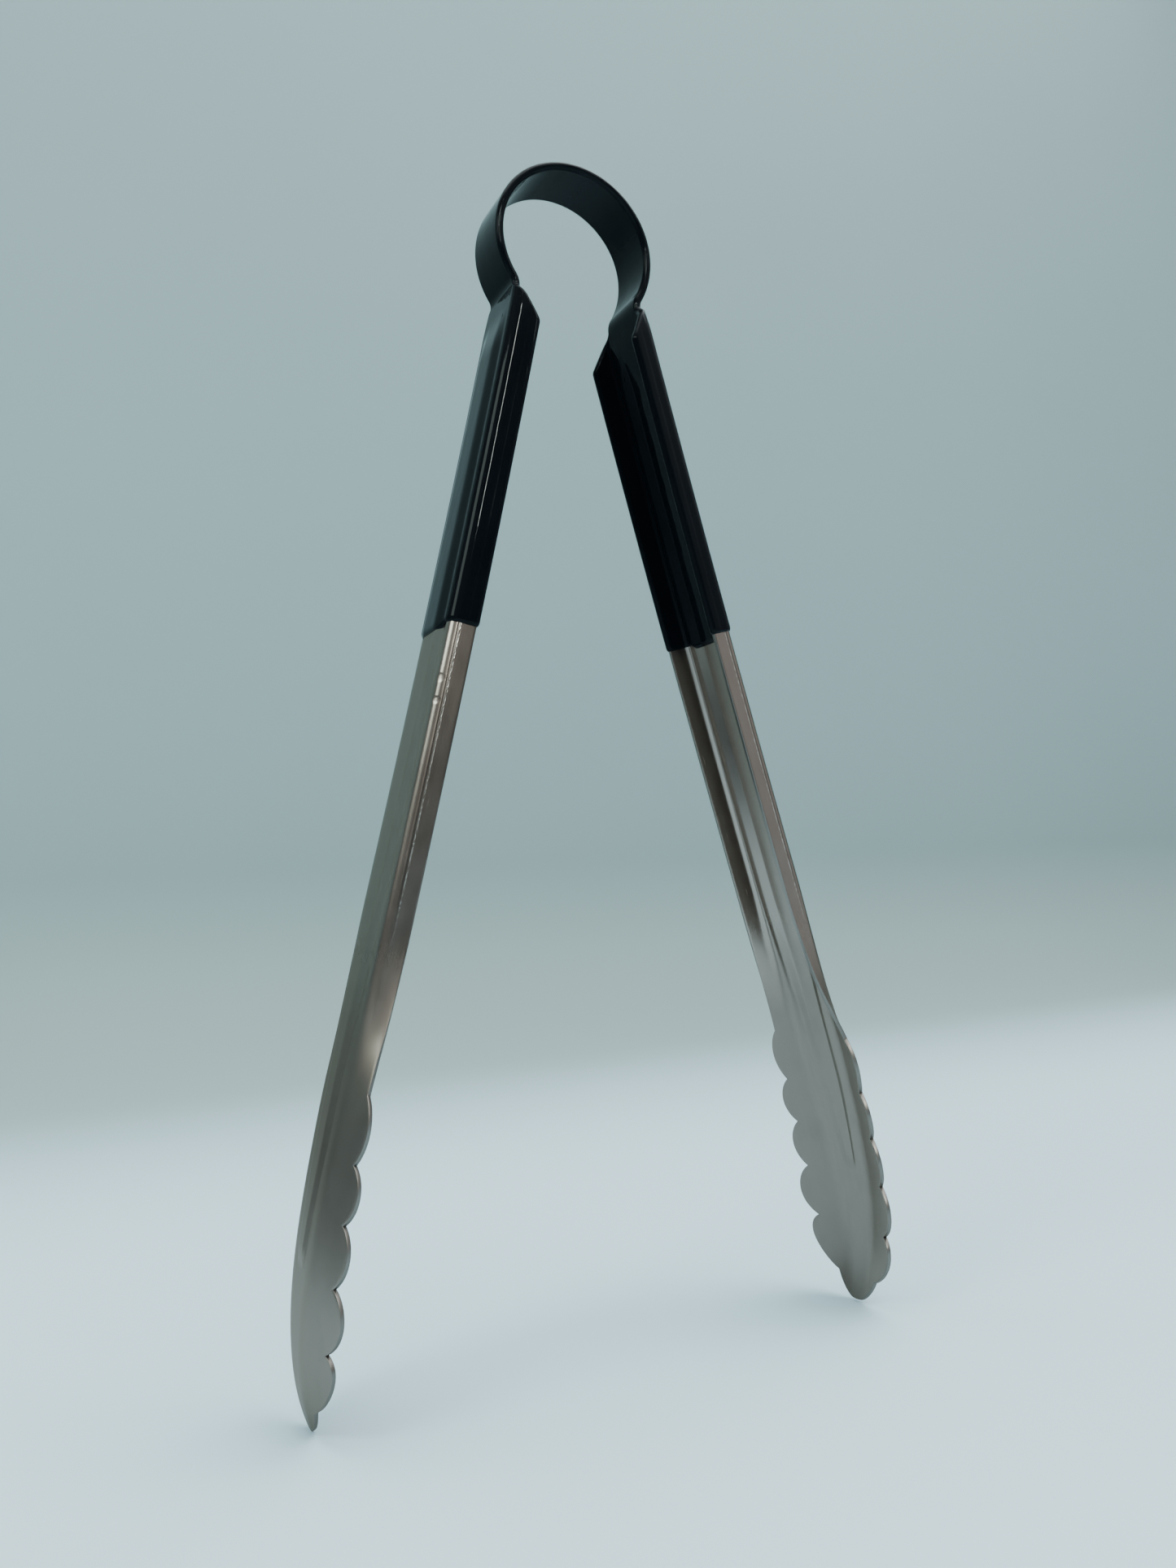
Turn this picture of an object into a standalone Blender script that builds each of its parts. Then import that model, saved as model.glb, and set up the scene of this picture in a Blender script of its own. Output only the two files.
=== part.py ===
"""Spring-loaded kitchen tongs, made of two pieces: one pressed steel strip and one dipped vinyl coat.

The strip is bent into a round spring bow at the top. Below a sharp neck each arm is a shallow channel with
a raised rib down its back, and it ends in a scalloped jaw. The vinyl covers the bow and the upper arms.
The bow bends along its whole length, so it is cut into a top and two sides, with four hinges on the middle
of the strip: one between the top and each side, and one between each side and its arm. All sizes are in
millimetres, and MM turns them into metres. +Z runs up from the jaw tips to the bow, +X runs from the left
arm to the right one, and Y runs across the strip.
"""

import math

import bmesh
import bpy
import numpy as np

MM = 0.001

# Strip and coat
LENGTH = 303.5  # from the jaw tips to the top of the bow
STEEL = 1.0  # thickness of the strip
GAP = 0.2  # between the strip and the coat around it
COAT = 0.4  # wall of the coat
LINK_GAP = 0.3  # between one link of the bow and the next

# Side view: the line that the middle of the strip follows
BOW_R = 21.2
BOW_TURN = math.radians(121.8)  # from the top of the bow round to the neck
NECK_R = 4.5
TILT_TOP = math.radians(13.5)  # lean of each arm away from upright, just below the neck
TILT_LOW = math.radians(15.3)  # and at the top of the jaw
ARM_TOP_Z = 260.0
ARM_RUN = 180.0
CURL = math.radians(38.0)  # how far the jaw tip turns in
CURL_RUN = 20.0
STEP = 0.05  # length of one step along that line

# Across the strip
WEB_HALF = 10.5  # to where web and flange would meet in a sharp corner
BOW_HALF = 7.5  # half width of the flat strip in the bow
CORNER_R = 2.3
FREE_HALF = 11.5  # to the free edge of a flange
FLANGE_DEPTH = 6.1
SHOULDER_RUN = 11.5  # from the neck to where the flanges are full
RIB_HEIGHT = 1.0
RIB_CREST = 3.8  # half width of its flat top
RIB_FOOT = 8.2  # half width over its sloping sides
JAW_RIB = 0.66  # how wide the rib is in the jaw, as a share of its width on the arm
RIB_START = 26.0  # below the neck
RIB_END = 39.0  # above the tip
RIB_RAMP = 7.0

# Jaw: at each distance up from the tip, the web's half width, the corner's radius, and where the bottom of
# the notch between two lobes lies, as its half width and its depth in from the back
JAW_KEYS = (
    (0.0, 2.5, 14.0, 4.5, 0.4),
    (6.0, 3.5, 14.0, 7.6, 1.0),
    (20.0, 5.5, 14.0, 14.1, 3.1),
    (34.0, 7.0, 14.0, 15.8, 3.3),
    (47.0, 8.0, 13.0, 16.2, 3.3),
    (59.5, 8.6, 11.0, 16.3, 3.2),
    (74.0, 9.2, 9.0, 16.0, 3.2),
    (81.0, 9.5, 7.0, 14.6, 4.0),
    (88.0, 9.8, 5.0, 13.3, 4.9),
    (104.0, 10.3, 3.0, 11.9, 5.9),
    (118.0, WEB_HALF, CORNER_R, FREE_HALF, FLANGE_DEPTH),
)
NOTCHES = (6.0, 20.0, 34.0, 47.0, 59.5, 74.0)
LOBE_BULGE = (4.6, 4.1, 3.2, 3.1, 2.5)  # how far each lobe stands out past the line between its notches
LOBE_STEPS = 6

# Coat and links
COAT_END = 184.0  # above the tip
HINGE_ANGLES = (30.0, 90.0)  # degrees from the top of the bow
LINK_STEPS = 10  # between one ring and the next, in each piece of the bow

STEEL_LOOK = ((0.62, 0.61, 0.59), 0.32, 1.0)
VINYL_LOOK = ((0.012, 0.013, 0.016), 0.18, 0.0)


def clear_scene():
    for obj in list(bpy.data.objects):
        bpy.data.objects.remove(obj)


def spine_table():
    """Rows of distance, x, z and lean along the right half of the strip, from the bow's top to the tip."""
    s, x, z = 0.0, 0.0, LENGTH - STEEL / 2 - GAP - COAT
    lean = math.pi / 2
    rows = [(s, x, z, lean)]
    floor = STEEL / 2 * math.sin(CURL - TILT_LOW)
    while z > floor:
        if s < BOW_R * BOW_TURN:
            lean = math.pi / 2 - s / BOW_R
        else:
            along = (ARM_TOP_Z - z) / ARM_RUN
            arm_lean = TILT_TOP + (TILT_LOW - TILT_TOP) * along - CURL * math.exp(-z / CURL_RUN)
            lean = min(lean + STEP / NECK_R, arm_lean)
        x += math.sin(lean) * STEP
        z -= math.cos(lean) * STEP
        s += STEP
        rows.append((s, x, z, lean))
    return np.array(rows)


SPINE = spine_table()
TIP_S = SPINE[-1, 0]
NECK_S = BOW_R * BOW_TURN


def spine_at(s):
    """x, z and lean of the strip at distance s from the top of the bow."""
    return tuple(float(np.interp(s, SPINE[:, 0], SPINE[:, i])) for i in (1, 2, 3))


def smooth(t):
    t = min(max(t, 0.0), 1.0)
    return t * t * (3 - 2 * t)


def jaw_key(up, column):
    """A column of JAW_KEYS at a distance up from the tip, on a smooth curve through the keys."""
    at = [row[0] for row in JAW_KEYS]
    values = [row[column] for row in JAW_KEYS]
    if up >= at[-1]:
        return values[-1]
    slopes = np.gradient(values, at)
    slopes[-1] = 0.0
    i = max(np.searchsorted(at, up, side="right") - 1, 0)
    run = at[i + 1] - at[i]
    t = (up - at[i]) / run
    ends = (1 + 2 * t) * (1 - t) ** 2 * values[i] + t * t * (3 - 2 * t) * values[i + 1]
    return ends + run * (t * (1 - t) ** 2 * slopes[i] - t * t * (1 - t) * slopes[i + 1])


def lobe_bulge(up):
    """How far the free edge stands out past the line through the notches."""
    for low, high, bulge in zip(NOTCHES, NOTCHES[1:], LOBE_BULGE):
        if low < up < high:
            half = (high - low) / 2
            radius = (half * half + bulge * bulge) / (2 * bulge)
            off = up - low - half
            return math.sqrt(radius * radius - off * off) - (radius - bulge)
    return 0.0


def tip_share(up):
    """Width of the rounded tip as a share of the width at the first notch."""
    if up >= NOTCHES[0]:
        return 1.0
    return math.sqrt(max(1 - (1 - up / NOTCHES[0]) ** 2, 0.0))


def rib_height(s):
    start = smooth((s - NECK_S - RIB_START) / RIB_RAMP)
    return RIB_HEIGHT * start * smooth((TIP_S - s - RIB_END) / RIB_RAMP)


def bend_point(t, web, radius, turn):
    """Point and direction at distance t from the middle of the strip, on its bent middle line."""
    start = web - radius * math.tan(turn / 2)
    if t <= start:
        return t, 0.0, 0.0
    angle = min((t - start) / radius, turn)
    rest = max(t - start - radius * turn, 0.0)
    across = start + radius * math.sin(angle) + rest * math.cos(angle)
    return across, -radius * (1 - math.cos(angle)) - rest * math.sin(angle), angle


def channel_edge(depth, radius, turn, web):
    """Distance from the middle of the strip to a free edge at this depth."""
    start = web - radius * math.tan(turn / 2)
    arc_depth = radius * (1 - math.cos(turn))
    if depth <= arc_depth:
        return start + radius * math.acos(1 - depth / radius)
    return start + radius * turn + (depth - arc_depth) / math.sin(turn)


def flat_half():
    """Half width of the flat part of the web, between the corner bends."""
    turn = math.atan2(FLANGE_DEPTH, FREE_HALF - WEB_HALF)
    return WEB_HALF - CORNER_R * math.tan(turn / 2)


def section(s):
    """Half of the strip's middle line at s, as (across, out, angle) from the middle to the free edge."""
    up = TIP_S - s
    web, radius, half, depth = (jaw_key(up, column) for column in (1, 2, 3, 4))
    turn = math.atan2(depth, half - web)
    if up > JAW_KEYS[-1][0]:
        grown = (s - NECK_S) / SHOULDER_RUN
        depth = FLANGE_DEPTH * min(max(grown, 0.0), 1.0)
        web += (BOW_HALF - flat_half()) * (1 - smooth(grown))
    edge = channel_edge(depth, radius, turn, web) + lobe_bulge(up)
    edge *= tip_share(up)
    width = JAW_RIB + (1 - JAW_RIB) * smooth((up - NOTCHES[-1]) / (JAW_KEYS[-1][0] - NOTCHES[-1]))
    foot = min(RIB_FOOT * width, 0.86 * edge)
    crest = foot * RIB_CREST / RIB_FOOT
    rib = [(0.0, 1.0), (crest, 1.0), ((crest + foot) / 2, 0.5), (foot, 0.0)]
    flat = [(foot + (edge - foot) * share, 0.0) for share in (0.16, 0.28, 0.40, 0.52, 1.0)]
    height = rib_height(s)
    points = []
    for t, share in rib + flat:
        across, out, angle = bend_point(t, web, radius, turn)
        points.append((across, out + share * height, angle))
    return points


def bow_section(_s):
    """Half of the flat strip of the bow."""
    return [(0.0, 0.0, 0.0), (BOW_HALF, 0.0, 0.0)]


def ring(points, thick, reach):
    """Closed outline around the middle line, thick on each side and reaching past each free edge."""
    line = [(-w, n, -a) for w, n, a in reversed(points[1:])] + list(points)
    outer = [(w + math.sin(a) * thick, n + math.cos(a) * thick) for w, n, a in line]
    inner = [(w - math.sin(a) * thick, n - math.cos(a) * thick) for w, n, a in line]
    if reach == 0:
        return outer + inner[::-1]
    ends = []
    for (w, n, a), side in ((line[-1], 1), (line[0], -1)):
        arc = []
        for turn in (45, 0, -45):
            along = reach * math.cos(math.radians(turn)) * side
            off = thick * math.sin(math.radians(turn))
            across = w + math.cos(a) * along + math.sin(a) * off
            arc.append((across, n - math.sin(a) * along + math.cos(a) * off))
        ends.append(arc)
    return outer + ends[0] + inner[::-1] + ends[1][::-1]


def placed(outline, s, side):
    """The outline stood across the strip at s. side is 1 for the right half, -1 for the left."""
    back = s < 0
    x, z, lean = spine_at(abs(s))
    out_x, out_z = math.cos(lean), math.sin(lean)
    if back:
        x, out_x = -x, -out_x
    return [(side * (x + n * out_x), w, z + n * out_z) for w, n in outline]


def add_rings(mesh, rings):
    made = [[mesh.verts.new([c * MM for c in point]) for point in row] for row in rings]
    count = len(made[0])
    for low, high in zip(made, made[1:]):
        for i in range(count):
            j = (i + 1) % count
            mesh.faces.new((low[i], low[j], high[j], high[i]))
    return made


def strip_mesh(rings):
    """A solid strip: the rings joined side to side, and each end closed with a row of faces."""
    mesh = bmesh.new()
    made = add_rings(mesh, rings)
    count = len(made[0])
    for end in (made[0], made[-1]):
        for i in range(count // 2 - 1):
            mesh.faces.new((end[i], end[i + 1], end[count - 2 - i], end[count - 1 - i]))
    return mesh


def sleeve_mesh(outer_rings, inner_rings):
    """An open sleeve: an outer and an inner wall, joined by a rim at each end."""
    mesh = bmesh.new()
    outer = add_rings(mesh, outer_rings)
    inner = add_rings(mesh, inner_rings)
    count = len(outer[0])
    for end in (0, -1):
        for i in range(count):
            j = (i + 1) % count
            mesh.faces.new((outer[end][i], outer[end][j], inner[end][j], inner[end][i]))
    return mesh


def material_for(name, look):
    colour, roughness, metallic = look
    material = bpy.data.materials.new(name)
    material.use_nodes = True
    shader = material.node_tree.nodes["Principled BSDF"]
    shader.inputs["Base Color"].default_value = (*colour, 1.0)
    shader.inputs["Roughness"].default_value = roughness
    shader.inputs["Metallic"].default_value = metallic
    return material


def add_object(name, mesh, look, pivot):
    """An object whose origin is its pivot: an empty on its hinge axis, or none for the top of the bow."""
    origin = pivot["place"] if pivot else (0.0, 0.0, 0.0)
    bmesh.ops.translate(mesh, verts=mesh.verts, vec=[-c for c in origin])
    bmesh.ops.recalc_face_normals(mesh, faces=mesh.faces)
    data = bpy.data.meshes.new(name)
    mesh.to_mesh(data)
    mesh.free()
    data.shade_smooth()
    data.set_sharp_from_angle(angle=math.radians(35))
    data.materials.append(material_for(name, look))
    obj = bpy.data.objects.new(name, data)
    bpy.context.collection.objects.link(obj)
    if pivot:
        obj.parent = pivot["empty"]
    return obj


def add_link(name, stations, side, profile, coated, pivot):
    """The steel and, if coated, the vinyl of one link, through these stations along the strip."""
    half = STEEL / 2
    steel = [placed(ring(profile(s), half, 0), s, side) for s in stations]
    add_object(f"{name}_steel", strip_mesh(steel), STEEL_LOOK, pivot)
    covered = [s for s in stations if s <= coated]
    if not covered:
        return
    inner = [placed(ring(profile(s), half + GAP, GAP), s, side) for s in covered]
    outer = [placed(ring(profile(s), half + GAP + COAT, GAP + COAT), s, side) for s in covered]
    add_object(f"{name}_coat", sleeve_mesh(outer, inner), VINYL_LOOK, pivot)


def hinge_empties(side_name, side):
    """One empty for each hinge of this side, each parented to the one above it."""
    pivots = []
    for number, angle in enumerate(HINGE_ANGLES, 1):
        x, z, _ = spine_at(BOW_R * math.radians(angle))
        place = (side * x * MM, 0.0, z * MM)
        empty = bpy.data.objects.new(f"{side_name}_hinge_{number}", None)
        bpy.context.collection.objects.link(empty)
        above = pivots[-1] if pivots else None
        empty.location = [c - (above["place"][i] if above else 0.0) for i, c in enumerate(place)]
        if above:
            empty.parent = above["empty"]
        pivots.append({"empty": empty, "place": place})
    return pivots


def arm_stations():
    """Where the arm has a ring: close together at the neck, the shoulder, the rib's ends and the lobes."""
    start = BOW_R * math.radians(HINGE_ANGLES[-1]) + LINK_GAP / 2
    below_neck = (0.9, 1.8, 2.7, 3.6, 4.6, 6.5, 8.5, 10.5, SHOULDER_RUN, 16.0)
    stations = list(np.linspace(start, NECK_S, LINK_STEPS // 2 + 1)) + [NECK_S + d for d in below_neck]
    stations += [NECK_S + RIB_START + RIB_RAMP * share for share in (0.0, 0.35, 0.65, 1.0)]
    stations += [TIP_S - up for up in (COAT_END, 150.0, 118.0, 111.0, 104.0, 96.0, 88.0, 81.0)]
    notches = [TIP_S - up for up in reversed(NOTCHES)]
    for high, low in zip(notches, notches[1:]):
        for i in range(LOBE_STEPS):
            share = (1 - math.cos(math.pi * i / LOBE_STEPS)) / 2
            stations.append(high + (low - high) * share)
    tip_shares = (1.0, 0.62, 0.34, 0.15, 0.04, 0.005)
    return stations + [TIP_S - NOTCHES[0] * share for share in tip_shares]


def build():
    clear_scene()
    hinges = [BOW_R * math.radians(angle) for angle in HINGE_ANGLES]
    top = hinges[0] - LINK_GAP / 2
    add_link("bow_top", np.linspace(-top, top, LINK_STEPS + 1), 1, bow_section, TIP_S, None)
    for side_name, side in (("left", -1), ("right", 1)):
        pivots = hinge_empties(side_name, side)
        stations = np.linspace(hinges[0] + LINK_GAP / 2, hinges[1] - LINK_GAP / 2, LINK_STEPS + 1)
        add_link(f"{side_name}_bow", stations, side, bow_section, TIP_S, pivots[0])
        coat_s = TIP_S - COAT_END + STEP
        add_link(f"{side_name}_arm", arm_stations(), side, section, coat_s, pivots[1])


build()
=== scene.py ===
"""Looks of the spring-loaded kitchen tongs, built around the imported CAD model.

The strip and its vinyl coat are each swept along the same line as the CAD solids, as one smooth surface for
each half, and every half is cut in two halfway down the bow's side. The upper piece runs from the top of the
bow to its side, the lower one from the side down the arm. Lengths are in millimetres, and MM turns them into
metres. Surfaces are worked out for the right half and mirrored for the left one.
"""

import math

import bmesh
import bpy
import numpy as np
from mathutils import Matrix, Vector


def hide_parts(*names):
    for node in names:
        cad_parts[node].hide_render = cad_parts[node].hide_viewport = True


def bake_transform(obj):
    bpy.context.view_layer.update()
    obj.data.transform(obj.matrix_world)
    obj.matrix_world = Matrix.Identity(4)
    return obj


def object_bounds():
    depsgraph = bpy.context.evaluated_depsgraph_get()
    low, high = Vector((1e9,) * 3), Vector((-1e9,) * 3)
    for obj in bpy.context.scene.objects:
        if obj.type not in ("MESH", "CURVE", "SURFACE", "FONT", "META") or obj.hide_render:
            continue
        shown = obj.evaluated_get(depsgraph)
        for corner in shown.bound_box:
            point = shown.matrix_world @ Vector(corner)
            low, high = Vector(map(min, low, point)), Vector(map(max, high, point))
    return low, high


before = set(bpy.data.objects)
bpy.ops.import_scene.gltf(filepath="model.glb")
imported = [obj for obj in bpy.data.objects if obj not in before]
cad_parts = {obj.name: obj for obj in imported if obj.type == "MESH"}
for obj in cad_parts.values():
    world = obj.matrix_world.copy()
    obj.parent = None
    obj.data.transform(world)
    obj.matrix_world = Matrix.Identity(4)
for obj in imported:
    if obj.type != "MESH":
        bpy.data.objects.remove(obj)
CAD_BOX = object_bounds()

MM = 0.001

# Strip and coat
LENGTH = CAD_BOX[1].z / MM
STEEL = 1.0  # thickness of the strip
EDGE_ROUND = 0.14  # on the sheared edges
SKIN = 1.1  # from the middle of the strip to the outside of the coat
SKIN_INSIDE = 0.75  # from the middle of the strip to the inside of the coat
LIP = 0.56  # from the middle of the strip to the coat's outside at its very end
LIP_RUN = 1.3  # over which the coat's end rounds down to the steel
LIP_WALL = 0.03  # between the coat's two walls at its very end
BEAD = 0.09  # how much thicker the coat is along the outside of a free edge
BEAD_FROM = 13.3  # distance from the middle of the strip where the bead starts
BEAD_RUN = 0.9
BEAD_BELOW = 6.0  # below the neck, where the bead starts to grow
BEAD_SOFT = 0.45

# Side view, as in the CAD model
BOW_R = 21.2
BOW_TURN = math.radians(121.8)
NECK_R = 4.5
TILT_TOP = math.radians(13.5)
TILT_LOW = math.radians(15.3)
ARM_TOP_Z = 260.0
ARM_RUN = 180.0
CURL = math.radians(38.0)
CURL_RUN = 20.0
STEP = 0.05

# Across the strip, as in the CAD model
WEB_HALF = 10.5
BOW_HALF = 7.5
CORNER_R = 2.3
FREE_HALF = 11.5
FLANGE_DEPTH = 6.1
SHOULDER_RUN = 11.5
FLANGE_START = 3.2  # below the neck, where the strip's edge starts to turn into a flange
FLANGE_RUN = 9.8
SHOULDER_ROUND = 0.15  # rounding at both ends of that run, as a share of it
RIB_TAIL = (0.5, 30.0, 34.0)  # the rib's width at its lower end as a share, and where it narrows
TIP_ROUND = 2.5  # 2 makes the tip an ellipse, more makes it blunter
RIB_HEIGHT = 1.0
RIB_CREST = 3.8
RIB_FOOT = 8.2
RIB_SOFT = 0.22  # rounding at each end of the rib's slope, as a share of the slope
RIB_ROOM = 0.86  # the most that the rib's foot takes of the way to the free edge
JAW_RIB = 0.66
RIB_FADE = (0.55, 36.0, 60.0)  # the rib's height at its lower end as a share, and where it sinks
RIB_START = 8.0  # below the neck
RIB_END = 34.5  # above the tip
RIB_RAMP_TOP = 13.0
RIB_RAMP_LOW = 4.5

# Distance up from the tip: the web's half width, the corner's radius, and the bottom of the notch between
# two lobes, as its half width and its depth in from the back
JAW_KEYS = (
    (0.0, 2.5, 14.0, 4.5, 0.4),
    (6.0, 3.5, 14.0, 7.6, 1.0),
    (20.0, 5.5, 14.0, 14.1, 3.1),
    (34.0, 7.0, 14.0, 15.8, 3.3),
    (47.0, 8.0, 13.0, 16.2, 3.3),
    (59.5, 8.6, 11.0, 16.3, 3.2),
    (74.0, 9.2, 9.0, 16.0, 3.2),
    (81.0, 9.5, 7.0, 14.6, 4.0),
    (88.0, 9.8, 5.0, 13.3, 4.9),
    (104.0, 10.3, 3.0, 11.9, 5.9),
    (118.0, WEB_HALF, CORNER_R, FREE_HALF, FLANGE_DEPTH),
)
NOTCHES = (6.0, 20.0, 34.0, 47.0, 59.5, 74.0)
LOBE_BULGE = (4.6, 4.1, 3.2, 3.1, 2.5)

# Where the coat ends on each arm, above the tip, and how much lower its lip hangs on the rib's crest
COAT_END = {"left": 183.0, "right": 184.8}
LIP_SAG = 1.3
SAG_REACH = 5.2  # how far up the coat its rings sag with the lip
SAG_HALF = 8.6  # distance from the middle of the strip where the sag ends
SAG_EDGE = 2.2  # over which it fades
SAG_SOFT = 0.3

SPLIT_ANGLE = 60.0  # where each half of the bow is cut into its two pieces
GUARD = 0.02  # from each cut to the next ring, so that shading runs across the cut

# Columns of faces on half of the rib's crest, on its slope, and from its foot to the free edge
STRIP_COLUMNS = (4, 8, 16)
COAT_COLUMNS = (4, 8, 30)

# Distance between the rings, and the rings in each lobe and in the rounded tip
BOW_PITCH = 1.0
NECK_PITCH = 0.35
RIB_PITCH = 0.7
ARM_PITCH = 1.4
LIP_PITCH = 0.4
LOBE_RINGS = 24
TIP_RINGS = 20
LIP_RINGS = 12
SHARP_ANGLE = math.radians(42)


# ---- The surface of one half ----


def spine_table():
    """Rows of distance, x, z and lean along the right half of the strip, from the bow's top to the tip."""
    s, x, z = 0.0, 0.0, LENGTH - SKIN
    lean = math.pi / 2
    rows = [(s, x, z, lean)]
    floor = STEEL / 2 * math.sin(CURL - TILT_LOW)
    while z > floor:
        if s < BOW_R * BOW_TURN:
            lean = math.pi / 2 - s / BOW_R
        else:
            along = (ARM_TOP_Z - z) / ARM_RUN
            arm_lean = TILT_TOP + (TILT_LOW - TILT_TOP) * along - CURL * math.exp(-z / CURL_RUN)
            lean = min(lean + STEP / NECK_R, arm_lean)
        x += math.sin(lean) * STEP
        z -= math.cos(lean) * STEP
        s += STEP
        rows.append((s, x, z, lean))
    return np.array(rows)


SPINE = spine_table()
TIP_S = SPINE[-1, 0]
NECK_S = BOW_R * BOW_TURN


def spine_at(s):
    """x, z and lean of the strip at distance s from the top of the bow."""
    return tuple(np.interp(s, SPINE[:, 0], SPINE[:, i]) for i in (1, 2, 3))


def smooth(t):
    t = np.clip(t, 0.0, 1.0)
    return t * t * (3 - 2 * t)


def soft_ramp(t, soft):
    """0 to 1 in a straight line with a rounded start and end, each soft wide."""
    t = np.clip(t, 0.0, 1.0)
    rise = 1 / (1 - soft)
    start = rise * t * t / (2 * soft)
    end = 1 - rise * (1 - t) ** 2 / (2 * soft)
    return np.where(t < soft, start, np.where(t > 1 - soft, end, rise * (t - soft / 2)))


def jaw_key(up, column):
    """A column of JAW_KEYS at a distance up from the tip, on a smooth curve through the keys."""
    at = np.array([row[0] for row in JAW_KEYS])
    values = np.array([row[column] for row in JAW_KEYS])
    slopes = np.gradient(values, at)
    slopes[-1] = 0.0
    up = np.clip(up, 0.0, at[-1])
    i = np.clip(np.searchsorted(at, up, side="right") - 1, 0, len(at) - 2)
    run = at[i + 1] - at[i]
    t = (up - at[i]) / run
    ends = (1 + 2 * t) * (1 - t) ** 2 * values[i] + t * t * (3 - 2 * t) * values[i + 1]
    return ends + run * (t * (1 - t) ** 2 * slopes[i] - t * t * (1 - t) * slopes[i + 1])


def lobe_bulge(up):
    """How far the free edge stands out past the line through the notches."""
    total = np.zeros_like(up)
    for low, high, bulge in zip(NOTCHES, NOTCHES[1:], LOBE_BULGE):
        half = (high - low) / 2
        radius = (half * half + bulge * bulge) / (2 * bulge)
        off = np.clip(up - low - half, -half, half)
        total += np.sqrt(radius * radius - off * off) - (radius - bulge)
    return total


def tip_share(up):
    """Width of the rounded tip as a share of the width at the first notch."""
    left_over = 1 - np.clip(up / NOTCHES[0], 0.0, 1.0)
    return (1 - left_over**TIP_ROUND) ** (1 / TIP_ROUND)


def rib_height(s):
    start = smooth((s - NECK_S - RIB_START) / RIB_RAMP_TOP)
    share, fade_from, fade_run = RIB_FADE
    fade = share + (1 - share) * smooth((TIP_S - s - fade_from) / fade_run)
    return RIB_HEIGHT * start * fade * smooth((TIP_S - s - RIB_END) / RIB_RAMP_LOW)


def profile(s):
    """Web half width, corner radius and turn, and the crest, foot and free edge of the section at s."""
    up = TIP_S - s
    web, radius, half, depth = (jaw_key(up, column) for column in (1, 2, 3, 4))
    turn = np.arctan2(depth, half - web)
    grown = (s - NECK_S) / SHOULDER_RUN
    above_jaw = up > JAW_KEYS[-1][0]
    turned = soft_ramp((s - NECK_S - FLANGE_START) / FLANGE_RUN, SHOULDER_ROUND)
    depth = np.where(above_jaw, FLANGE_DEPTH * turned, depth)
    flat = WEB_HALF - CORNER_R * math.tan(math.atan2(FLANGE_DEPTH, FREE_HALF - WEB_HALF) / 2)
    web = web + np.where(above_jaw, (BOW_HALF - flat) * (1 - smooth(grown)), 0.0)
    start = web - radius * np.tan(turn / 2)
    arc_depth = radius * (1 - np.cos(turn))
    in_arc = start + radius * np.arccos(np.clip(1 - depth / radius, -1.0, 1.0))
    past_arc = start + radius * turn + (depth - arc_depth) / np.sin(turn)
    edge = (np.where(depth <= arc_depth, in_arc, past_arc) + lobe_bulge(up)) * tip_share(up)
    width = JAW_RIB + (1 - JAW_RIB) * smooth((up - NOTCHES[-1]) / (JAW_KEYS[-1][0] - NOTCHES[-1]))
    tail, tail_from, tail_run = RIB_TAIL
    width = width * (tail + (1 - tail) * smooth((up - tail_from) / tail_run))
    foot = np.minimum(RIB_FOOT * width, RIB_ROOM * edge)
    return web, radius, turn, foot * RIB_CREST / RIB_FOOT, foot, edge


def middle(s, c):
    """Points on the middle of the strip, and their distance from its centre line.

    c runs across the strip: 0 on the centre line, 1 where the rib's crest ends, 2 at its foot and 3 on the
    free edge, and below 0 on the other half.
    """
    web, radius, turn, crest, foot, edge = profile(np.abs(s))
    a = np.abs(c)
    on_slope = crest + (foot - crest) * (a - 1)
    on_side = foot + (edge - foot) * (a - 2)
    t = np.where(a <= 1, crest * a, np.where(a <= 2, on_slope, on_side))
    start = web - radius * np.tan(turn / 2)
    angle = np.clip((t - start) / radius, 0.0, turn)
    flat = np.minimum(t, start)
    rest = np.maximum(t - start - radius * turn, 0.0)
    across = flat + radius * np.sin(angle) + rest * np.cos(angle)
    out = -radius * (1 - np.cos(angle)) - rest * np.sin(angle)
    out = out + rib_height(np.abs(s)) * soft_ramp(2 - a, RIB_SOFT)
    x, z, lean = spine_at(np.abs(s))
    back = np.where(s < 0, -1.0, 1.0)
    sign = np.sign(c)
    points = np.stack((back * (x + out * np.cos(lean)), sign * across, z + out * np.sin(lean)), -1)
    return points, sign * t


def unit(v):
    return v / np.linalg.norm(v, axis=-1, keepdims=True)


def directions(s, c):
    """Unit vectors at a point of the strip: across it, and out of its outer face."""
    ds, dc = STEP, 0.01
    along = middle(np.minimum(s + ds, TIP_S), c)[0] - middle(s - ds, c)[0]
    across = middle(s, c + dc)[0] - middle(s, c - dc)[0]
    return unit(across), unit(np.cross(along, across))


def column_values(inset, s, counts):
    """Values of c from one free edge to the other, which stop inset short of the edges."""
    *_, foot, edge = profile(s)
    reach = 1 - np.minimum(inset / (edge - foot), 0.9)
    crest, slope, side = counts
    on_rib = np.concatenate((np.linspace(0, 1, crest + 1), np.linspace(1, 2, slope + 1)[1:]))
    beside = 2 + reach[:, None] * np.linspace(0, 1, side + 1)[1:]
    half = np.concatenate((np.tile(on_rib, (len(s), 1)), beside), 1)
    return np.concatenate((-half[:, :0:-1], half), 1)


def band(s, c, thick):
    """Points on the face that lies thick out of the middle, with their s, t and face."""
    s = np.broadcast_to(s, c.shape)
    points, t = middle(s, c)
    _, out = directions(s, c)
    return points + out * np.asarray(thick)[..., None], s, t


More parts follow.
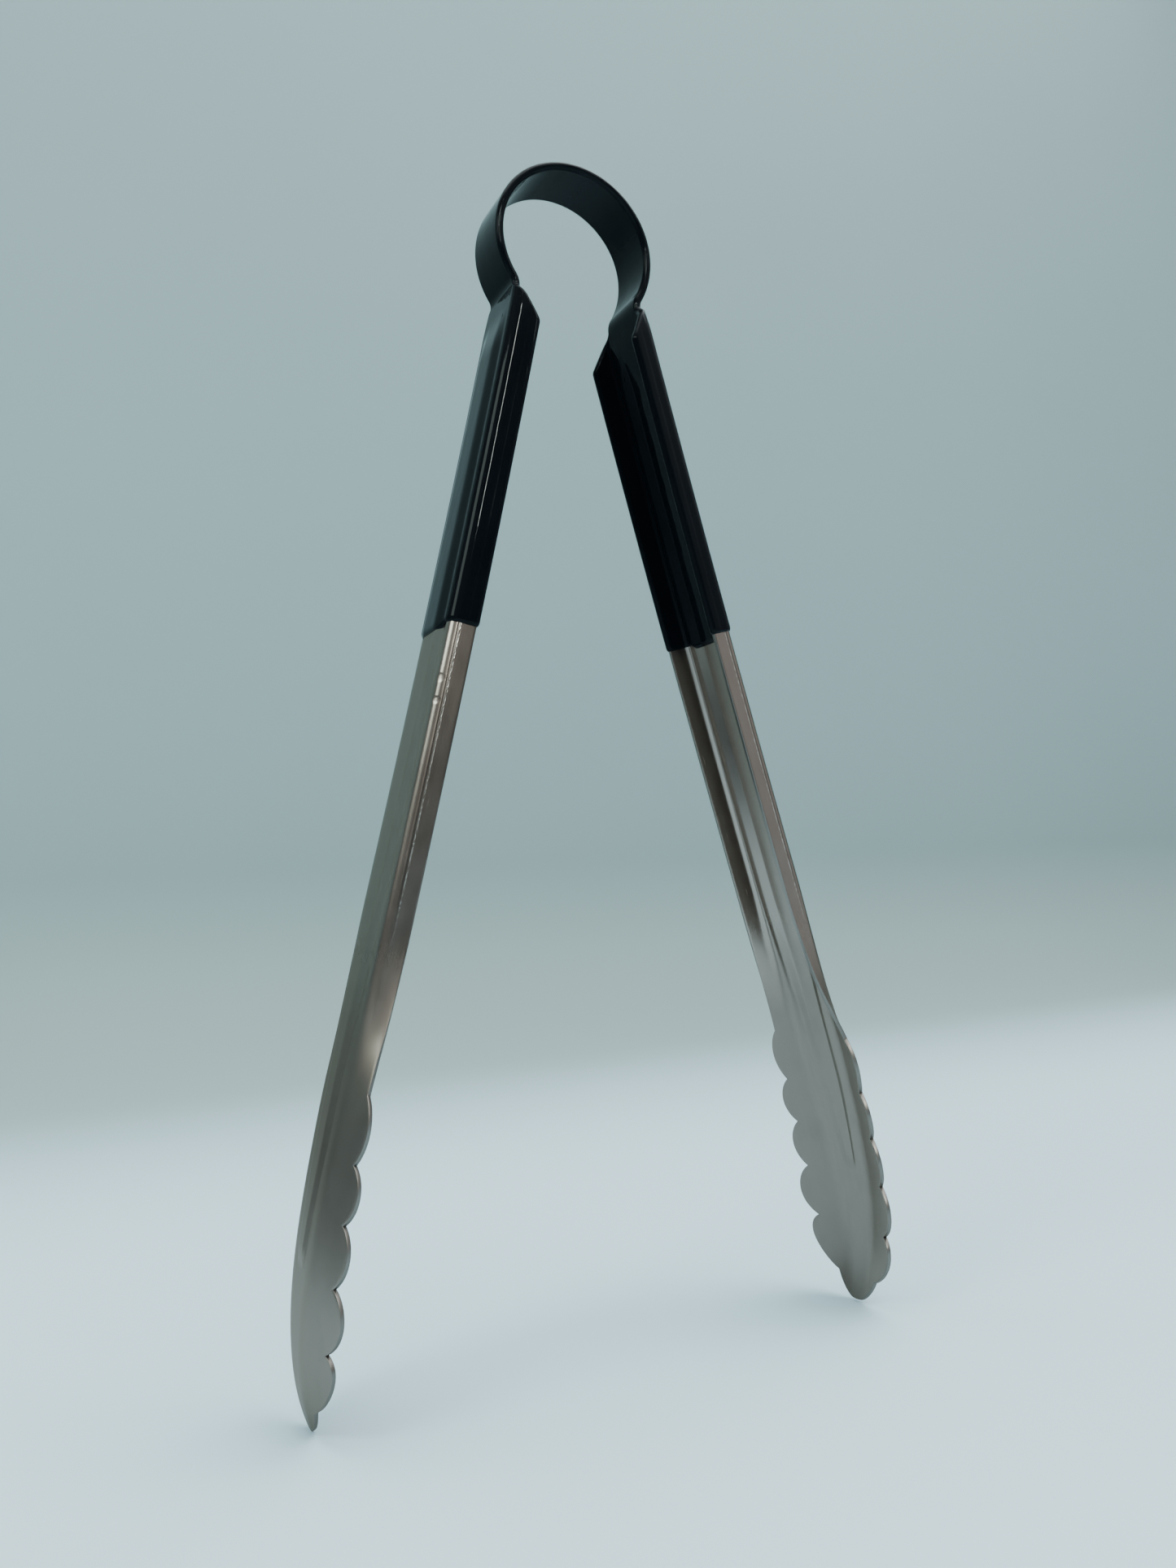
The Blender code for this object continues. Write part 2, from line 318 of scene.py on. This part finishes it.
def edge_band(s, sign, along, off):
    """Points around a free edge, each along past it and off out of the middle."""
    s = np.broadcast_to(s, along.shape)
    c = np.full(s.shape, 3.0 * sign)
    points, t = middle(s, c)
    across, out = directions(s, c)
    return points + across * (sign * along)[..., None] + out * off[..., None], s, t


def ring_rows(outer, right, inner, left):
    """Closed rings: the outer face, round one free edge, back over the inner face, round the other."""
    inner, left = (tuple(v[:, ::-1] for v in part) for part in (inner, left))
    parts = (outer, right, inner, left)
    return tuple(np.concatenate([part[i] for part in parts], 1) for i in range(3))


# ---- Meshes ----


def strip_rows(stations):
    """Rings of the bare steel strip, with rounded sheared edges."""
    s = stations[:, None]
    half = STEEL / 2
    c = column_values(EDGE_ROUND, stations, STRIP_COLUMNS)
    turns = np.radians([60, 30, 0, 0, -30, -60])
    along = EDGE_ROUND * (np.cos(turns) - 1)
    off = EDGE_ROUND * np.sin(turns) + np.sign([1, 1, 1, -1, -1, -1]) * (half - EDGE_ROUND)
    along, off = (np.tile(v, (len(stations), 1)) for v in (along, off))
    faces = [band(s, c, np.full(c.shape, thick)) for thick in (half, -half)]
    edges = [edge_band(s, sign, along, off) for sign in (1, -1)]
    return ring_rows(faces[0], edges[0], faces[1], edges[1]), c.shape[1], along.shape[1]


def skin(s, t, thick):
    """Outer offset of the coat at a point: thicker in the bead along each flange's edge."""
    on_arm = smooth((s - NECK_S - BEAD_BELOW) / SHOULDER_RUN)
    return thick * (1 + BEAD / SKIN * on_arm * soft_ramp((np.abs(t) - BEAD_FROM) / BEAD_RUN, BEAD_SOFT))


def coat_rows(stations, end_s, thick):
    """Rings of one wall of the coat, thick at each station, whose last ones sag on the rib."""
    c = column_values(STEEL / 2, stations, COAT_COLUMNS)
    level = stations[:, None]
    if end_s:
        sag = LIP_SAG * smooth(1 - (end_s - stations) / SAG_REACH)[:, None]
    else:
        sag = np.zeros((len(stations), 1))
    side = np.abs(middle(level + 0 * c, c)[1])
    s_edge = level - sag * 0.5
    s = level + sag * soft_ramp((SAG_HALF - side) / SAG_EDGE, SAG_SOFT) - sag * 0.5
    t = middle(s, c)[1]
    outer = band(s, c, skin(s, t, thick[:, None]))
    inner = band(s, c, -thick[:, None] + 0 * c)
    turns = np.radians([72, 54, 36, 18, 0, -18, -36, -54, -72])
    edge_t = profile(stations)[-1][:, None]
    bead = skin(s_edge, edge_t, 1.0)
    swell = np.where(turns > 0, bead, 1.0)
    along = thick[:, None] * np.cos(turns) - STEEL / 2
    off = thick[:, None] * np.sin(turns) * swell
    edges = [edge_band(s_edge + 0 * along, sign, along, off) for sign in (1, -1)]
    return ring_rows(outer, edges[0], inner, edges[1]), c.shape[1], along.shape[1]


def ring_faces(first, rows, count):
    """Quads of a tube of rows rings with count points each, numbered from first."""
    i, j = np.meshgrid(np.arange(rows - 1), np.arange(count), indexing="ij")
    low, high = first + i * count, first + (i + 1) * count
    nxt = (j + 1) % count
    return np.stack((low + j, low + nxt, high + nxt, high + j), -1).reshape(-1, 4).tolist()


def end_cap(first, faces, edges):
    """Faces that close a ring: quads between its two faces, and one face inside each rounded edge."""
    back = 2 * faces + edges - 1
    cap = [(first + i, first + i + 1, first + back - i - 1, first + back - i) for i in range(faces - 1)]
    right = [first + k for k in range(faces - 1, faces + edges + 1)]
    left = [first + k for k in range(2 * faces + edges - 1, 2 * faces + 2 * edges)] + [first]
    return cap + [tuple(right), tuple(left)]


def rim(outer, inner, count):
    """Quads between two rings of the same number of points."""
    return [(outer + i, outer + (i + 1) % count, inner + (i + 1) % count, inner + i) for i in range(count)]


def mark(mesh, label, values):
    """Store one value at each point of a mesh, for its material to read."""
    made = mesh.attributes.new(label, "FLOAT", "POINT")
    made.data.foreach_set("value", values.astype(np.float32))


def add_piece(name, walls, faces, side, material):
    """A mesh object from its walls, each as points with their s and t, and its faces."""
    points = np.concatenate([wall[0].reshape(-1, 3) for wall in walls])
    points = points * (side * MM, MM, MM)
    mesh = bpy.data.meshes.new(name)
    mesh.from_pydata(points.tolist(), [], faces)
    work = bmesh.new()
    work.from_mesh(mesh)
    bmesh.ops.recalc_face_normals(work, faces=work.faces)
    work.to_mesh(mesh)
    work.free()
    for label, i in (("along", 1), ("across", 2)):
        mark(mesh, label, np.concatenate([wall[i].ravel() for wall in walls]))
    mesh.shade_smooth()
    mesh.set_sharp_from_angle(angle=SHARP_ANGLE)
    mesh.materials.append(material)
    obj = bpy.data.objects.new(name, mesh)
    bpy.context.collection.objects.link(obj)
    return obj


def inside_values(rows, faces, edges):
    """0 on the outer face of each ring, 1 on the inner face, and steps between them round the edges."""
    round_edge = np.linspace(0, 1, edges + 2)[1:-1]
    ring = np.concatenate((np.zeros(faces), round_edge, np.ones(faces), round_edge[::-1]))
    return np.tile(ring, rows)


def rim_values(rows, faces, edges):
    """1 on the sheared edges and 0 on the faces."""
    ring = np.concatenate((np.zeros(faces), np.ones(edges), np.zeros(faces), np.ones(edges)))
    return np.tile(ring, rows)


def add_strip(name, stations, side, material):
    walls, faces, edges = strip_rows(stations)
    rows, count = walls[1].shape
    quads = ring_faces(0, rows, count)
    quads += end_cap(0, faces, edges) + end_cap((rows - 1) * count, faces, edges)
    obj = add_piece(name, [walls], quads, side, material)
    mark(obj.data, "inside", inside_values(rows, faces, edges))
    mark(obj.data, "rim", rim_values(rows, faces, edges))
    return obj


def add_coat(name, stations, end_s, side, material):
    """A sleeve between two walls. end_s is where the coat ends, or 0 where it goes on past this piece."""
    if end_s:
        left_over = np.clip((end_s - stations) / LIP_RUN, 0.0, 1.0)
    else:
        left_over = np.ones(len(stations))
    bulge = np.sqrt(1 - (1 - left_over) ** 2)
    outer, faces, edges = coat_rows(stations, end_s, LIP + (SKIN - LIP) * bulge)
    low = LIP - LIP_WALL
    inner, *_ = coat_rows(stations, end_s, low + (SKIN_INSIDE - low) * smooth(left_over))
    rows, count = outer[1].shape
    first = rows * count
    quads = ring_faces(0, rows, count) + ring_faces(first, rows, count)
    quads += rim(0, first, count) + rim((rows - 1) * count, first + (rows - 1) * count, count)
    obj = add_piece(name, [outer, inner], quads, side, material)
    mark(obj.data, "inside", np.tile(inside_values(rows, faces, edges), 2))
    return obj


def run(start, end, pitch):
    """Evenly spaced stations from start up to but not including end."""
    return list(np.linspace(start, end, max(round((end - start) / pitch), 1), endpoint=False))


def bow_stations(split):
    inner = run(BOW_PITCH, split - BOW_PITCH / 2, BOW_PITCH)
    return np.array([0.0, GUARD] + inner + [split - GUARD, split])


def below_split(split, end):
    """Stations from the cut, round the neck and down the arm, up to end."""
    neck_top, neck_end = NECK_S - 3.0, NECK_S + 16.0
    rib_top = NECK_S + RIB_START + RIB_RAMP_TOP + 2.0
    stations = [split, split + GUARD] + run(split + BOW_PITCH, neck_top, BOW_PITCH)
    stations += run(neck_top, neck_end, NECK_PITCH)
    return stations + run(neck_end, rib_top, RIB_PITCH) + run(rib_top, end, ARM_PITCH)


def arm_stations(split):
    """Stations of the steel down to the tip, which are closer together at the notches."""
    jaw = TIP_S - 96.0
    stations = below_split(split, jaw) + run(jaw, TIP_S - NOTCHES[-1], RIB_PITCH)
    notches = [TIP_S - up for up in reversed(NOTCHES)]
    for high, low in zip(notches, notches[1:]):
        shares = (1 - np.cos(np.pi * np.arange(LOBE_RINGS) / LOBE_RINGS)) / 2
        stations += list(high + (low - high) * shares)
    turns = np.radians(np.linspace(0, 86, TIP_RINGS))
    return np.array(stations + list(TIP_S - NOTCHES[0] * (1 - np.sin(turns))))


def coat_stations(split, end):
    """Stations of the coat, which are closer together where its end sags and rounds down."""
    sag_top = end - 6.0
    lip = LIP_RUN * (1 - np.sin(np.radians(np.linspace(0, 90, LIP_RINGS))))
    stations = below_split(split, sag_top) + run(sag_top, end - LIP_RUN, LIP_PITCH)
    return np.array(stations + list(end - lip))


# ---- Materials ----


STEEL_TONES = ((0.256, 0.212, 0.185, 1), (0.326, 0.272, 0.239, 1))
JAW_STEEL = (0.176, 0.145, 0.122, 1)
STAIN = (0.19, 0.165, 0.14, 1)
SPECK = (0.13, 0.115, 0.10, 1)
# painted shade: the dark colour along the scored tool groove
PAINTED_GROOVE_SHADE = (0.07, 0.065, 0.06, 1)
# painted highlight: bright glints along the second tool groove
PAINTED_GLINT = (0.75, 0.74, 0.70, 1)
# painted shade on the sheared edges
PAINTED_EDGE_SHADE = (0.13, 0.125, 0.12, 1)
VINYL_TONES = ((0.002, 0.003, 0.004, 1), (0.005, 0.006, 0.008, 1))
TOOL_LINES = ((11.75, 0.32), (12.20, 0.26))  # one with painted shade and one with painted glints: distance across, and half width


def put(tree, socket, value):
    """Set a socket's value, or link it to another node's output."""
    if isinstance(value, bpy.types.NodeSocket):
        tree.links.new(value, socket)
    else:
        socket.default_value = value


def add_node(tree, kind, inputs=(), **settings):
    made = tree.nodes.new(kind)
    for key, value in settings.items():
        setattr(made, key, value)
    for key, value in dict(inputs).items():
        put(tree, made.inputs[key], value)
    return made


class Look:
    """A material's nodes, built around its Principled shader."""

    def __init__(self, name):
        self.material = bpy.data.materials.new(name)
        self.material.use_nodes = True
        self.tree = self.material.node_tree
        self.shader = self.tree.nodes["Principled BSDF"]

    def node(self, kind, inputs=(), **settings):
        return add_node(self.tree, kind, inputs, **settings)

    def put(self, socket, value):
        put(self.tree, socket, value)

    def math(self, operation, a, b=0.0, c=0.0):
        return self.node("ShaderNodeMath", {0: a, 1: b, 2: c}, operation=operation).outputs[0]

    def value(self, name):
        return self.node("ShaderNodeAttribute", attribute_name=name).outputs["Fac"]

    def ramp(self, value, low, high, to_low=0.0, to_high=1.0):
        """A smooth step of the value between low and high."""
        made = self.node("ShaderNodeMapRange", interpolation_type="SMOOTHSTEP")
        for socket, number in zip(made.inputs, (value, low, high, to_low, to_high)):
            self.put(socket, number)
        return made.outputs[0]

    def place(self, along, across, depth=0.0):
        """Surface coordinates in millimetres, stretched by a factor each way."""
        x = self.math("MULTIPLY", self.value("along"), along)
        y = self.math("MULTIPLY", self.value("across"), across)
        z = self.math("MULTIPLY_ADD", self.value("inside"), 31.0, depth)
        return self.node("ShaderNodeCombineXYZ", {0: x, 1: y, 2: z}).outputs[0]

    def noise(self, place, scale=1.0, detail=3.0, rough=0.5):
        inputs = {"Vector": place, "Scale": scale, "Detail": detail, "Roughness": rough}
        return self.node("ShaderNodeTexNoise", inputs).outputs["Fac"]

    def mix(self, share, low, high):
        made = self.node("ShaderNodeMix", data_type="RGBA")
        for socket, value in zip((made.inputs[0], made.inputs[6], made.inputs[7]), (share, low, high)):
            self.put(socket, value)
        return made.outputs[2]

    def spot(self, along, across, radius):
        """1 at a place on the surface, falling to 0 at radius."""
        x = self.math("SUBTRACT", self.value("along"), along)
        y = self.math("SUBTRACT", self.value("across"), across)
        square = self.math("ADD", self.math("MULTIPLY", x, x), self.math("MULTIPLY", y, y))
        return self.ramp(square, 0.0, radius * radius, 1.0, 0.0)

    def bump(self, height, distance, normal=None):
        inputs = {"Height": height, "Strength": 1.0, "Distance": distance * MM}
        made = self.node("ShaderNodeBump", inputs)
        if normal is not None:
            self.put(made.inputs["Normal"], normal)
        return made.outputs[0]


def tool_line(look, side, at, width, where):
    """A fine line along the strip, at a distance from its middle, only where it is wanted."""
    off = look.math("ABSOLUTE", look.math("SUBTRACT", side, at))
    return look.math("MULTIPLY", look.ramp(off, 0.0, width, 1.0, 0.0), where)


def steel_look(name, marks):
    """Satin stainless steel with a lengthwise grain, a tool line beside each bend and duller jaws, with
    painted shade and painted glints along the tool lines and painted shade on the sheared edges.
    """
    look = Look(name)
    along, across = look.value("along"), look.value("across")
    jaw = look.ramp(along, TIP_S - 112.0, TIP_S - 80.0)
    grain = look.noise(look.place(0.045, 5.0), 1.0, 4.0, 0.65)
    mottle = look.noise(look.place(0.10, 0.16, 5.0), 1.0, 3.0, 0.55)
    fine = look.noise(look.place(1.6, 2.2, 9.0), 1.0, 2.0, 0.6)
    specks = look.ramp(look.noise(look.place(0.9, 1.1, 2.0), 1.0, 2.0), 0.66, 0.74)
    stains = look.ramp(look.noise(look.place(0.07, 0.12, 17.0), 1.0, 2.0), 0.55, 0.75)

    side = look.math("ABSOLUTE", across)
    outside = look.ramp(look.value("inside"), 0.02, 0.1, 1.0, 0.0)
    on_arm = look.math("MULTIPLY", outside, look.ramp(along, TIP_S - 100.0, TIP_S - 125.0))
    broken = look.ramp(look.noise(look.place(0.8, 3.0, 4.0), 1.0, 2.0), 0.42, 0.58)
    # the two tool lines: grooves in the bump, with painted shade along one and painted glints along the
    # other
    groove_and_painted_shade, groove_for_painted_glint = (tool_line(look, side, at, width, on_arm) for at, width in TOOL_LINES)
    painted_glint_and_groove = look.math("MULTIPLY", groove_for_painted_glint, broken)
    lines = look.math("ADD", groove_and_painted_shade, painted_glint_and_groove)

    stained = look.math("MULTIPLY", stains, look.math("MULTIPLY", jaw, 0.35))
    speckled = look.math("MULTIPLY", specks, look.math("MULTIPLY", jaw, 0.25))
    colour = look.mix(mottle, *STEEL_TONES)
    colour = look.mix(stained, colour, STAIN)
    colour = look.mix(speckled, colour, SPECK)
    colour = look.mix(look.math("MULTIPLY", jaw, 0.55), colour, JAW_STEEL)
    # painted shade in the scored tool groove
    colour = look.mix(look.math("MULTIPLY", groove_and_painted_shade, 0.7), colour, PAINTED_GROOVE_SHADE)
    # painted highlight: bright glints along the second tool groove
    colour = look.mix(look.math("MULTIPLY", painted_glint_and_groove, 0.8), colour, PAINTED_GLINT)
    # painted shade on the sheared edges
    colour = look.mix(look.math("MULTIPLY", look.value("rim"), 0.55), colour, PAINTED_EDGE_SHADE)
    look.put(look.shader.inputs["Base Color"], colour)
    look.shader.inputs["Metallic"].default_value = 1.0
    look.shader.inputs["Specular Tint"].default_value = (0.66, 0.62, 0.58, 1)

    rough = look.math("MULTIPLY_ADD", grain, 0.10, 0.17)
    rough = look.math("MULTIPLY_ADD", jaw, 0.15, rough)
    rough = look.math("MULTIPLY_ADD", mottle, 0.06, rough)
    look.put(look.shader.inputs["Roughness"], rough)

    normal = look.bump(grain, 0.004)
    normal = look.bump(fine, 0.002, normal)
    normal = look.bump(lines, -0.03, normal)
    dents = 0.0
    for at, off, radius in marks:
        dents = look.math("ADD", dents, look.spot(at, off, radius))
    if marks:
        normal = look.bump(dents, -0.06, normal)
    look.put(look.shader.inputs["Normal"], normal)
    return look.material


def vinyl_look(name, pimples):
    """Glossy black dipped vinyl: a faint orange peel, slow waves, and a few grains under the skin."""
    look = Look(name)
    cloud = look.noise(look.place(0.05, 0.08), 1.0, 3.0)
    peel = look.noise(look.place(0.7, 0.9, 3.0), 1.0, 2.0)
    waves = look.noise(look.place(0.12, 0.22, 8.0), 1.0, 1.0)
    dust = look.ramp(look.noise(look.place(1.1, 1.1, 12.0), 1.0, 1.0), 0.76, 0.80)
    look.put(look.shader.inputs["Base Color"], look.mix(cloud, *VINYL_TONES))
    rough = look.math("MULTIPLY_ADD", cloud, 0.05, 0.03)
    look.put(look.shader.inputs["Roughness"], rough)
    look.shader.inputs["Specular IOR Level"].default_value = 0.06
    normal = look.bump(waves, 0.05)
    normal = look.bump(peel, 0.006, normal)
    normal = look.bump(dust, 0.03, normal)
    grains = 0.0
    for at, off, radius in pimples:
        grains = look.math("ADD", grains, look.spot(at, off, radius))
    if pimples:
        normal = look.bump(grains, 0.18, normal)
    look.put(look.shader.inputs["Normal"], normal)
    return look.material


# ---- The two halves ----


def bend(obj):
    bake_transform(obj)


def add_half(name, side):
    split = BOW_R * math.radians(SPLIT_ANGLE)
    end_s = TIP_S - COAT_END[name]
    steel = steel_look(f"{name}_satin_steel", DENTS[name])
    vinyl = vinyl_look(f"{name}_gloss_vinyl", PIMPLES[name])
    uppers = (
        (add_strip(f"{name}_strip_bow", bow_stations(split), side, steel), "steel"),
        (add_coat(f"{name}_skin_bow", bow_stations(split), 0, side, vinyl), "coat"),
    )
    for obj, what in uppers:
        bend(obj)
        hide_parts(f"bow_top_{what}", f"{name}_bow_{what}")
    lowers = (
        (add_strip(f"{name}_strip_arm", arm_stations(split), side, steel), "steel"),
        (add_coat(f"{name}_skin_arm", coat_stations(split, end_s), end_s, side, vinyl), "coat"),
    )
    for obj, what in lowers:
        bend(obj)
        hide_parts(f"{name}_arm_{what}")


# Small marks, as distance along the strip from the top of the bow, distance across it, and radius
DENTS = {
    "left": ((153.0, -10.2, 1.3), (158.5, -10.4, 1.1)),
    "right": (),
}
PIMPLES = {
    "left": ((56.0, -4.5, 0.6), (112.0, 3.0, 0.4)),
    "right": ((62.0, 6.0, 0.5),),
}

add_half("left", -1)
add_half("right", 1)


# ---- Stage, light and camera ----

WALL_Y = 0.64
SWEEP_R = 0.14
WALL_TOP = 2.2
STAGE_HALF = 12.0
STAGE_FRONT = -12.0
STAGE_DROP = 0.0004  # below the tips, so that they don't share the floor's surface
FLOOR_TONES = ((0.67, 0.87, 0.98, 1), (0.70, 0.90, 1.0, 1))
WALL_TONES = ((0.310, 0.400, 0.400, 1), (0.340, 0.430, 0.430, 1))

# The dark card that reflections show, on the left of the tongs
CARD_X = -0.30
CARD_NEAR, CARD_FAR = 0.06, 0.42
CARD_TOP = 0.10
CARD_TONES = ((0.07, 0.07, 0.07, 1), (0.11, 0.11, 0.11, 1))

# Height of a direction in the tent of light around the stage, and its colour there
TENT = (
    (0.0, (0.20, 0.22, 0.225, 1)),
    (0.35, (0.24, 0.26, 0.265, 1)),
    (0.60, (0.46, 0.50, 0.51, 1)),
    (1.0, (0.80, 0.86, 0.88, 1)),
)
TENT_GAIN = (0.75, 2.6)  # on the left and on the right
FRONT = (0.06, -0.99, -0.08)
FRONT_DARK = (0.034, 0.034, 0.030, 1)
BEHIND_STAGE = (0.49, 0.60, 0.62, 1)

# The photograph's view: turn, height and roll in degrees, place in metres, and lens on a 36 mm sensor
CAMERA_TURNS = (-26.28, -5.10, -2.66)
CAMERA_PLACE = (-0.13604, -0.27551, 0.11366)
LENS = 27.741


def add_stage():
    """A pale floor that sweeps up into a wall behind the tongs."""
    turns = np.radians(np.linspace(0, 90, 25))
    floor = [(y, 0.0) for y in np.linspace(STAGE_FRONT, WALL_Y - SWEEP_R, 40, endpoint=False)]
    curve = [(WALL_Y - SWEEP_R + SWEEP_R * math.sin(a), SWEEP_R * (1 - math.cos(a))) for a in turns]
    line = floor + curve + [(WALL_Y, WALL_TOP)]
    mesh = bpy.data.meshes.new("sweep")
    points = [(x, y, z - STAGE_DROP) for y, z in line for x in (-STAGE_HALF, STAGE_HALF)]
    faces = [(2 * i, 2 * i + 1, 2 * i + 3, 2 * i + 2) for i in range(len(line) - 1)]
    mesh.from_pydata(points, [], faces)
    mesh.shade_smooth()
    obj = bpy.data.objects.new("sweep", mesh)
    bpy.context.collection.objects.link(obj)
    look = Look("pale_paper")
    place = look.node("ShaderNodeTexCoord").outputs["Object"]
    split = look.node("ShaderNodeSeparateXYZ", {0: place}).outputs
    rise = look.ramp(split[1], 0.15, 0.60)
    tone = look.noise(place, 3.0, 2.0)
    colour = look.mix(rise, look.mix(tone, *FLOOR_TONES), look.mix(tone, *WALL_TONES))
    look.put(look.shader.inputs["Base Color"], colour)
    look.shader.inputs["Roughness"].default_value = 0.85
    look.shader.inputs["Specular IOR Level"].default_value = 0.2
    mesh.materials.append(look.material)


def add_card():
    """A dark card beside the tongs that only reflections show, as photographers use to deepen steel."""
    mesh = bpy.data.meshes.new("card")
    outline = ((CARD_NEAR, 0.0), (CARD_FAR, 0.0), (CARD_FAR, CARD_TOP), (CARD_NEAR, CARD_TOP))
    mesh.from_pydata([(CARD_X, y, z) for y, z in outline], [], [(0, 1, 2, 3)])
    obj = bpy.data.objects.new("card", mesh)
    bpy.context.collection.objects.link(obj)
    look = Look("dark_card")
    grain = look.noise(look.node("ShaderNodeTexCoord").outputs["Object"], 40.0, 2.0)
    look.put(look.shader.inputs["Base Color"], look.mix(grain, *CARD_TONES))
    look.shader.inputs["Roughness"].default_value = 0.9
    mesh.materials.append(look.material)
    obj.visible_camera = obj.visible_diffuse = obj.visible_shadow = False


def add_area(name, towards, distance, size, watts, colour, gloss_only=False):
    """A rectangular light that faces the middle of the tongs from a direction."""
    middle_point = Vector((0.0, 0.0, LENGTH / 2 * MM))
    direction = Vector(towards).normalized()
    light = bpy.data.lights.new(name, "AREA")
    light.shape = "RECTANGLE"
    light.size, light.size_y = size
    light.energy = watts
    light.color = colour
    obj = bpy.data.objects.new(name, light)
    obj.location = middle_point + direction * distance
    obj.rotation_mode = "QUATERNION"
    obj.rotation_quaternion = direction.to_track_quat("Z", "Y")
    obj.visible_diffuse = not gloss_only
    bpy.context.collection.objects.link(obj)


def smooth_step(tree, value, low, high, to_low=0.0, to_high=1.0):
    inputs = {0: value, 1: low, 2: high, 3: to_low, 4: to_high}
    return add_node(tree, "ShaderNodeMapRange", inputs, interpolation_type="SMOOTHSTEP").outputs[0]


def share_towards(tree, direction, axis):
    """How much a direction points along an axis, as the cosine between them."""
    inputs = {0: direction, 1: axis}
    return add_node(tree, "ShaderNodeVectorMath", inputs, operation="DOT_PRODUCT").outputs["Value"]


def add_world():
    """Pale all round, brighter overhead and on the right, and dark in front like an unlit room."""
    world = bpy.data.worlds.new("tent")
    bpy.context.scene.world = world
    world.use_nodes = True
    tree = world.node_tree
    tree.nodes.clear()

    direction = add_node(tree, "ShaderNodeTexCoord").outputs["Generated"]
    height = add_node(tree, "ShaderNodeSeparateXYZ", {0: direction}).outputs[2]
    tent = add_node(tree, "ShaderNodeValToRGB", {0: height})
    stops = tent.color_ramp.elements
    stops[0].position, stops[0].color = TENT[0]
    stops[1].position, stops[1].color = TENT[-1]
    for position, colour in TENT[1:-1]:
        stops.new(position).color = colour
    gain = smooth_step(tree, share_towards(tree, direction, (1.0, 0.0, 0.0)), -0.6, 0.8, *TENT_GAIN)
    scaled = {0: tent.outputs[0], "Scale": gain}
    tent_light = add_node(tree, "ShaderNodeVectorMath", scaled, operation="SCALE").outputs["Vector"]

    shade = smooth_step(tree, share_towards(tree, direction, FRONT), 0.62, 0.90)
    low = smooth_step(tree, height, 0.25, 0.55, 1.0, 0.55)
    share = add_node(tree, "ShaderNodeMath", {0: shade, 1: low}, operation="MULTIPLY").outputs[0]
    sockets = {0: share, 6: tent_light, 7: FRONT_DARK}
    room = add_node(tree, "ShaderNodeMix", sockets, data_type="RGBA")
    seen = add_node(tree, "ShaderNodeBackground", {0: BEHIND_STAGE, 1: 1.0})
    light = add_node(tree, "ShaderNodeBackground", {0: room.outputs[2], 1: 1.0})
    path = add_node(tree, "ShaderNodeLightPath").outputs["Is Camera Ray"]
    both = add_node(tree, "ShaderNodeMixShader", {0: path, 1: light.outputs[0], 2: seen.outputs[0]})
    add_node(tree, "ShaderNodeOutputWorld", {0: both.outputs[0]})


def add_camera():
    azimuth, elevation, roll = (math.radians(v) for v in CAMERA_TURNS)
    flat = math.cos(elevation)
    back = Vector((math.sin(azimuth) * flat, -math.cos(azimuth) * flat, math.sin(elevation)))
    level = (-back).cross(Vector((0, 0, 1))).normalized()
    upright = level.cross(-back)
    right = level * math.cos(roll) + upright * math.sin(roll)
    up = upright * math.cos(roll) - level * math.sin(roll)
    data = bpy.data.cameras.new("camera")
    data.sensor_width = 36.0
    data.lens = LENS
    data.clip_start = 0.01
    obj = bpy.data.objects.new("camera", data)
    matrix = Matrix((right, up, back)).transposed().to_4x4()
    matrix.translation = Vector(CAMERA_PLACE)
    obj.matrix_world = matrix
    bpy.context.collection.objects.link(obj)
    bpy.context.scene.camera = obj


add_stage()
add_card()
add_area("tube", (-0.20, -0.78, 0.60), 1.25, (0.016, 0.40), 9.5, (0.90, 1.0, 0.95), gloss_only=True)
add_area("window", (-0.76, -0.24, 0.60), 1.1, (0.40, 0.33), 4.2, (0.80, 1.0, 0.93))
add_area("overhead", (0.16, 0.05, 1.0), 1.45, (2.0, 2.0), 42.0, (0.88, 0.98, 1.0))
add_world()
add_camera()
